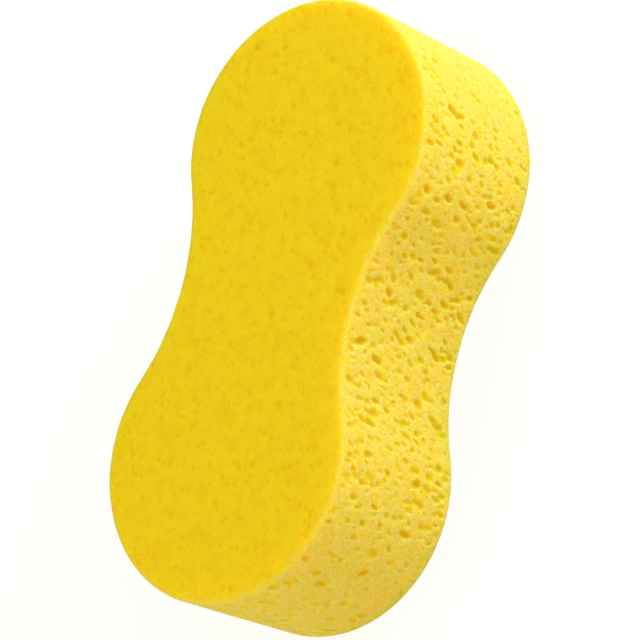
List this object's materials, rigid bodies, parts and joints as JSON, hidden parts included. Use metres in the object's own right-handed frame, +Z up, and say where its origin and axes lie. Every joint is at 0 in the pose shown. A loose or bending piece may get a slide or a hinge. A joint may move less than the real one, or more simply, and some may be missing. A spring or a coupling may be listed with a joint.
{
  "type": "cleaning sponge",
  "caption": "Figure-eight foam sponge with straight walls, two hand grips at the waist and open burst cells all over.",
  "frame": {"origin": "centre of the base face, under the middle of the sponge", "axes": "+X along the length, through both round ends; +Y across the width; +Z up through the thickness, along the rise of the foam"},
  "size_m": [0.22, 0.104, 0.066],
  "materials": {
    "foam": "matte open-cell polyurethane foam"
  },
  "bodies": {
    "root": {"sponge": "foam"}
  },
  "joints": []
}
